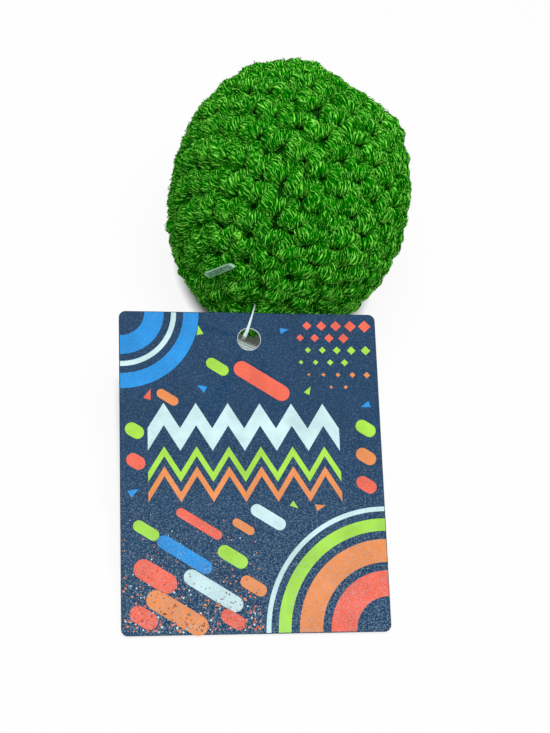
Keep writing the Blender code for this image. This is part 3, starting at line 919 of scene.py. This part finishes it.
def set_face_colours(piece, inks):
    """Stores one colour per face, an ink, the board or the edge's painted shade, for the printed
    card's material.
    """
    layer = piece.data.color_attributes.new("ink", "FLOAT_COLOR", "CORNER")
    sizes = [len(face.vertices) for face in piece.data.polygons]
    colours = np.repeat(np.array([linear(ink) for ink in inks]), sizes, axis=0)
    layer.data.foreach_set("color", colours.astype(np.float32).ravel())


# Coated card, offset printed under a satin film: inks with a faint cloudy
# change of tone and a speckle of pale grain that thickens towards the foot.
# A printed grain is finer than this one of 0.3 mm, which is coarse to show.
GRAINS_PER_MM = 3.6
PATCHES_PER_MM = 0.16
GRAIN_COLOUR = "#A9C8DA"
# The share of the card that the grain covers, and the range of the tone
GRAIN_AT_FOOT, GRAIN_AT_HEAD = 0.46, 0.11
DARK_PATCH, PALE_PATCH = 0.84, 1.06

printed_card, card_shader = start_material("satin_printed_card", {
    "Roughness": 0.55, "Specular IOR Level": 0.12})
# Colour per face: the inks, the board and the outer edge's painted shade
face_colour = node(printed_card, "VertexColor", {"layer_name": "ink"})
on_card = {"Vector": (node(printed_card, "TexCoord"), "Object")}
grain = node(printed_card, "TexNoise",
             {"Scale": GRAINS_PER_MM / MM, "Detail": 1.0, "Roughness": 0.6}, on_card)
patches = node(printed_card, "TexNoise",
               {"Scale": PATCHES_PER_MM / MM, "Detail": 3.0, "Roughness": 0.65}, on_card)
up_card = node(printed_card, "VectorMath",
               {"operation": "DOT_PRODUCT", 1: tuple(tag_up)}, {0: on_card["Vector"]})
middle_up = float(tag_middle @ tag_up)
spread = node(printed_card, "MapRange", {
    "From Min": middle_up - TAG_HALF_HEIGHT, "From Max": middle_up + 10 * MM,
    "To Min": GRAIN_AT_FOOT, "To Max": GRAIN_AT_HEAD},
    {"Value": (up_card, "Value")})
amount = node(printed_card, "MapRange",
              {"From Min": 0.47, "From Max": 0.7}, {"Value": (grain, "Fac")})
share = node(printed_card, "Math", {"operation": "MULTIPLY"},
             {0: (amount, "Result"), 1: (spread, "Result")})
tint = node(printed_card, "MapRange", {
    "From Min": 0.35, "From Max": 0.65, "To Min": DARK_PATCH,
    "To Max": PALE_PATCH}, {"Value": (patches, "Fac")})
clouded = node(printed_card, "VectorMath", {"operation": "SCALE"},
               {0: (face_colour, "Color"), "Scale": (tint, "Result")})
# A colour Mix node has its colours at inputs 6 and 7 and output 2
speckled = node(
    printed_card, "Mix",
    {"data_type": "RGBA", 7: linear(GRAIN_COLOUR)},
    {0: (share, "Value"), 6: (clouded, "Vector")})
tooth = node(printed_card, "Bump", {"Strength": 0.12, "Distance": 0.04 * MM},
             {"Height": (grain, "Fac")})
wire(printed_card, card_shader, {"Base Color": (speckled, 2), "Normal": (tooth, "Normal")})

# Uncoated white board on the back: a soft felt of paper fibres, drawn in
# tufts 0.7 mm wide, because single fibres are too fine to show
white_board = clouded_material(
    "uncoated_white_board", {"Roughness": 0.85, "Specular IOR Level": 0.2},
    {"Scale": 1.4 / MM, "Detail": 4.0, "Roughness": 0.7},
    ((0.35, "#E4E6E4"), (0.65, "#F3F4F2")),
    {"Strength": 0.3, "Distance": 0.04 * MM})

card = mesh_piece("tag_card", card_points, card_faces.tolist(), printed_card)
card.data.materials.append(white_board)
card.data.polygons.foreach_set("material_index", (card_colours == BOARD_WHITE).astype(np.int32))
card.data.set_sharp_from_angle(angle=math.radians(35.0))
set_face_colours(card, card_colours)
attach(card, "tag")
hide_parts("hang_tag")


# Print on the tag: flat spot inks laid on the blue ground, in quarter rings,
# zigzags, slanted bars, diamonds and a spray of small dots.
INK_RISE = 0.012 * MM
INK_ROOT = 0.02 * MM
PRINT_MARGIN = 0.15 * MM
# The motifs' places, across and up from the card's middle, and their sizes
# are in mm, and their angles in degrees
BAR_ANGLE = -32.0
DIAMOND_ROWS, DIAMOND_COLUMNS = 6, 5
DIAMOND_PITCH = (2.9, 2.5)
DIAMOND_START = (23.2, 28.8)
DIAMOND_SIZE, DIAMOND_LEAST = 1.25, 0.25
DOTS = 420
DOT_SIZES = (0.08, 0.26)
DOTS_LEFT, DOTS_RIGHT, DOTS_FOOT = -24.9, 1.0, -30.8
# Above the foot: a dot's mean and greatest height, and where it would vanish
DOTS_MEAN, DOTS_TOP, DOTS_VANISH = 6.5, 24.0, 40.0
LIME, CORAL, ORANGE, AQUA, BLUE = "#ADEA42", "#FA6B4F", "#F5954F", "#D5F5F8", "#1E96E8"

print_parts = []
print_inks = []


def ink_strip(edge_a, edge_b, ink):
    """A closed thin layer of ink between two edges of as many points: its
    top stands INK_RISE off the card and its foot is in the board."""
    flat = np.stack([edge_a, edge_b, edge_b, edge_a], 1)
    rise = TAG_HALF_THICKNESS + np.array([INK_RISE, INK_RISE, -INK_ROOT, -INK_ROOT])
    end = 4 * len(edge_a)
    faces = wall_faces(len(edge_a), 4)[:, TURNED].tolist() + [
        [0, 1, 2, 3], [end - 1, end - 2, end - 3, end - 4]]
    print_parts.append((tag_places(flat, rise).reshape(-1, 3), faces))
    print_inks.extend([ink] * len(faces))


def quarter_ring(corner, inner, outer, start, ink):
    """A quarter of a flat ring between two radii, about a corner whose
    place is in metres."""
    turn = np.radians(start + np.linspace(0.0, 90.0, 40))
    ray = np.stack([np.cos(turn), np.sin(turn)], -1)
    ink_strip(corner + ray * inner * MM, corner + ray * outer * MM, ink)


def zigzag(middle, reach, teeth, height, thickness, ink):
    """A band that goes up and down in straight runs, with slanted ends."""
    places = np.linspace(-1.0, 1.0, 2 * teeth + 1)
    heights = (np.arange(len(places)) % 2 - 0.5) * height
    line = np.stack([places * reach, heights], -1) * MM
    shift = np.array([0.0, 0.5 * thickness * MM])
    middle = np.array(middle) * MM
    ink_strip(middle + line - shift, middle + line + shift, ink)


def ink_shape(middle, angle, stations, widths, ink):
    """A shape about a straight line at an angle, with its half width given
    at each station along the line."""
    turn = math.radians(angle)
    along = np.array([math.cos(turn), math.sin(turn)])
    across = np.array([-along[1], along[0]])
    line = (np.array(middle) + np.array(stations)[:, None] * along) * MM
    side = np.array(widths)[:, None] * across * MM
    ink_strip(line - side, line + side, ink)


def bar(middle, angle, length, radius, ink):
    """A straight bar with round ends."""
    ends = np.linspace(0.02, np.pi / 2, 9)
    reach = length / 2 + radius * np.cos(ends)
    stations = np.concatenate([-reach, reach[::-1]])
    widths = radius * np.sin(np.concatenate([ends, ends[::-1]]))
    ink_shape(middle, angle, stations, widths, ink)


print_corner = np.array([TAG_HALF_WIDTH, TAG_HALF_HEIGHT]) - PRINT_MARGIN
# Four at the right foot (1) and three at the left head (-1)
for side, inner, outer, ink in (
        (1, 6.5, 11.4, CORAL), (1, 13.0, 17.4, ORANGE), (1, 19.0, 21.4, LIME),
        (1, 22.8, 23.7, AQUA), (-1, 4.8, 8.6, BLUE), (-1, 10.0, 11.0, AQUA),
        (-1, 12.4, 15.4, BLUE)):
    quarter_ring(print_corner * (side, -side), inner, outer, 90.0 * side, ink)

for height, thickness, ink in ((8.2, 4.4, AQUA), (0.9, 1.9, LIME), (-3.0, 1.9, ORANGE)):
    zigzag((-1.5, height), 18.6, 6, 5.0, thickness, ink)

# Slanted bars rise to the left, shorter and thinner up the card
for x, y, length, radius, ink in (
        (-15.0, -27.2, 9.0, 1.9, ORANGE), (-19.0, -20.4, 5.0, 1.9, CORAL),
        (-8.2, -23.2, 9.5, 1.5, AQUA), (-13.4, -16.4, 9.0, 1.3, BLUE),
        (-4.4, -16.9, 3.6, 1.3, LIME), (-20.6, -11.8, 3.2, 1.1, LIME),
        (-10.6, -10.6, 8.0, 0.9, CORAL), (-2.2, -11.2, 3.0, 0.8, ORANGE),
        (-4.6, -28.6, 2.4, 1.3, CORAL), (2.2, 17.4, 9.0, 1.6, CORAL),
        (-6.4, 20.2, 2.6, 1.1, LIME), (-16.2, 14.0, 2.8, 0.9, ORANGE),
        (22.4, 8.0, 1.6, 1.3, LIME), (22.2, 2.4, 1.6, 1.3, ORANGE),
        (22.0, -3.2, 1.6, 1.3, CORAL), (-22.6, 7.4, 1.2, 1.3, LIME),
        (-22.4, 1.4, 1.2, 1.3, CORAL), (2.6, -9.4, 5.0, 1.2, AQUA),
        (-0.6, -22.4, 3.0, 1.2, ORANGE), (-21.2, -28.0, 2.4, 1.6, CORAL)):
    bar((x, y), BAR_ANGLE, length, radius, ink)

# Diamonds that shrink towards the card's middle, in rows under the corner,
# each second row half a pitch in and one diamond short
for row in range(DIAMOND_ROWS):
    odd = row % 2
    for column in range(DIAMOND_COLUMNS - odd):
        inwards = DIAMOND_COLUMNS - 1 - column
        size = DIAMOND_SIZE - 0.15 * row - 0.09 * inwards
        place = (DIAMOND_START[0] - DIAMOND_PITCH[0] * (inwards + 0.5 * odd),
                 DIAMOND_START[1] - DIAMOND_PITCH[1] * row)
        ink = (CORAL, LIME, ORANGE)[row // 2]
        if size > DIAMOND_LEAST:
            ink_shape(place, 0.0, (-size, 0.0, size), (0.02, size, 0.02), ink)

# Short wedges strewn between the larger motifs
for x, y, angle, size, ink in (
        (-9.8, 27.6, 100.0, 0.9, LIME), (-19.8, 14.6, 70.0, 1.0, CORAL),
        (7.0, 27.8, 10.0, 0.8, BLUE), (-9.6, 16.0, 150.0, 0.9, BLUE),
        (22.6, 12.6, 200.0, 0.9, BLUE), (-22.8, -4.4, 30.0, 1.0, BLUE),
        (7.8, -7.2, -40.0, 0.8, LIME), (12.8, -7.4, 15.0, 0.9, ORANGE),
        (11.4, 15.6, 60.0, 0.8, LIME)):
    ink_shape((x, y), angle, (-size, size), (size * 0.75, 0.03), ink)

# Spray of small dots, dense at the foot and thinning up the card
spray = np.random.default_rng(11)
for number in range(DOTS):
    across = spray.uniform(DOTS_LEFT, DOTS_RIGHT)
    above = min(spray.exponential(DOTS_MEAN), DOTS_TOP)
    size = spray.uniform(*DOT_SIZES) * (1.0 - above / DOTS_VANISH)
    ink = (ORANGE, CORAL, ORANGE, AQUA)[number % 4]
    ink_shape((across, DOTS_FOOT + above), spray.uniform(0.0, 90.0),
              (-size, -0.5 * size, 0.5 * size, size),
              (0.3 * size, 0.9 * size, 0.9 * size, 0.3 * size), ink)

inks = mesh_piece("tag_print", *merge_parts(print_parts), printed_card)
inks.data.set_sharp_from_angle(angle=math.radians(35.0))
set_face_colours(inks, print_inks)
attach(inks, "tag")


# Floor, light and camera: a plain pale floor, one soft light overhead and
# slightly in front, and the camera that the tag's corners give.
CAMERA_PLACE = Vector((-0.05456, -0.21605, 0.25748))
CAMERA_BACK = Vector((-0.162, -0.581, 0.797))
CAMERA_RIGHT = Vector((0.987, -0.087, 0.137))
CAMERA_NUDGE = -0.55 * MM
FOCAL_LENGTH = 75.4
SENSOR_WIDTH = 36.0
LAMP_PLACE = Vector((0.0, -0.08, 0.7))
LAMP_AIM = Vector((0.0, 0.0, 0.02))
LAMP_POWER = 4.6
LAMP_SIZE = 0.5
SKY_STRENGTH = 0.2
FLOOR_HALF = 3.0
FLOOR_HEIGHT = -0.4 * MM
# Shadow shows on the floor under these shares of the bag and the card; it
# fades from the first edge to the second, past which white is laid over it
SHADOW_UNDER_BAG = 0.88
SHADOW_UNDER_CARD = 1.0
SHADOW_EDGES = (0.875, 1.0)
WHITE_BEYOND = 0.9

floor_mesh = bpy.data.meshes.new("floor")
floor_mesh.from_pydata(
    [(FLOOR_HALF * x, FLOOR_HALF * y, FLOOR_HEIGHT)
     for x, y in ((-1, -1), (1, -1), (1, 1), (-1, 1))], [], [(0, 1, 2, 3)])
floor = bpy.data.objects.new("floor", floor_mesh)
bpy.context.scene.collection.objects.link(floor)
# Matt white paper; the camera sees it white, but for the shadow that lies
# close under the bag and the card
floor_paper, floor_shader = start_material("matt_white_paper", {
    "Base Color": linear("#F4F4F4"), "Roughness": 0.9,
    "Specular IOR Level": 0.1})
seen = node(floor_paper, "LightPath")
glow = node(floor_paper, "Emission", {"Color": (1.0, 1.0, 1.0, 1.0), "Strength": 1.0})
where = node(floor_paper, "TexCoord")


def off_footprint(low, high, share, oval):
    """How far a floor point is from a footprint's middle, in a share of its
    half sizes: a length if it is oval, or the greater of its x and y."""
    middle = (np.array(low[:2]) + high[:2]) / 2
    half = share * (np.array(high[:2]) - low[:2]) / 2
    placed = node(floor_paper, "Mapping", {
        "Location": (*(-middle / half), 0.0), "Scale": (*(1.0 / half), 0.0)},
        {"Vector": (where, "Object")})
    if oval:
        return node(floor_paper, "VectorMath", {"operation": "LENGTH"}, {0: (placed, "Vector")})
    sizes = node(floor_paper, "VectorMath", {"operation": "ABSOLUTE"}, {0: (placed, "Vector")})
    axes = node(floor_paper, "SeparateXYZ", None, {0: (sizes, "Vector")})
    return node(floor_paper, "Math", {"operation": "MAXIMUM"}, {0: (axes, "X"), 1: (axes, "Y")})


nearest = node(floor_paper, "Math", {"operation": "MINIMUM"}, {
    0: (off_footprint(*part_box("crochet_cover"), SHADOW_UNDER_BAG, True), "Value"),
    1: (off_footprint(*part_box("hang_tag"), SHADOW_UNDER_CARD, False), "Value")})
beyond = node(floor_paper, "MapRange", {
    "From Min": SHADOW_EDGES[0], "From Max": SHADOW_EDGES[1],
    "To Max": WHITE_BEYOND}, {"Value": (nearest, "Value")})
whiten = node(floor_paper, "Math", {"operation": "MULTIPLY"},
              {0: (seen, "Is Camera Ray"), 1: (beyond, "Result")})
blend = node(floor_paper, "MixShader", None, {
    "Fac": (whiten, "Value"), 1: (floor_shader, 0), 2: (glow, 0)})
wire(floor_paper, floor_paper.node_tree.nodes["Material Output"], {"Surface": (blend, 0)})
floor_mesh.materials.append(floor_paper)

world = bpy.data.worlds.new("soft_daylight")
bpy.context.scene.world = world
world.use_nodes = True
sky = world.node_tree.nodes["Background"]
sky.inputs["Color"].default_value = (1.0, 1.0, 1.0, 1.0)
# The camera, gloss and clear pieces see it white; what it lights, it
# lights softly
looked_at = node(world, "LightPath")
sees = (looked_at, "Is Camera Ray")
for ray in ("Is Glossy Ray", "Is Transmission Ray"):
    brightest = node(world, "Math", {"operation": "MAXIMUM"}, {0: sees, 1: (looked_at, ray)})
    sees = (brightest, "Value")
strength = node(world, "MapRange", {"To Min": SKY_STRENGTH}, {"Value": sees})
wire(world, sky, {"Strength": (strength, "Result")})

lamp_data = bpy.data.lights.new("window_light", "AREA")
lamp_data.energy = LAMP_POWER
lamp_data.size = LAMP_SIZE
lamp = bpy.data.objects.new("window_light", lamp_data)
lamp.location = LAMP_PLACE
lamp.rotation_euler = (LAMP_AIM - LAMP_PLACE).to_track_quat("-Z", "Y").to_euler()
bpy.context.scene.collection.objects.link(lamp)

camera_data = bpy.data.cameras.new("camera")
camera_data.lens = FOCAL_LENGTH
camera_data.sensor_width = SENSOR_WIDTH
camera = bpy.data.objects.new("camera", camera_data)
back = CAMERA_BACK.normalized()
right = (CAMERA_RIGHT - back * CAMERA_RIGHT.dot(back)).normalized()
up = back.cross(right)
camera.matrix_world = (
    Matrix.Translation(CAMERA_PLACE + up * CAMERA_NUDGE)
    @ Matrix((right, up, back)).transposed().to_4x4())
bpy.context.scene.collection.objects.link(camera)
bpy.context.scene.camera = camera
bpy.context.scene.view_settings.view_transform = "Standard"
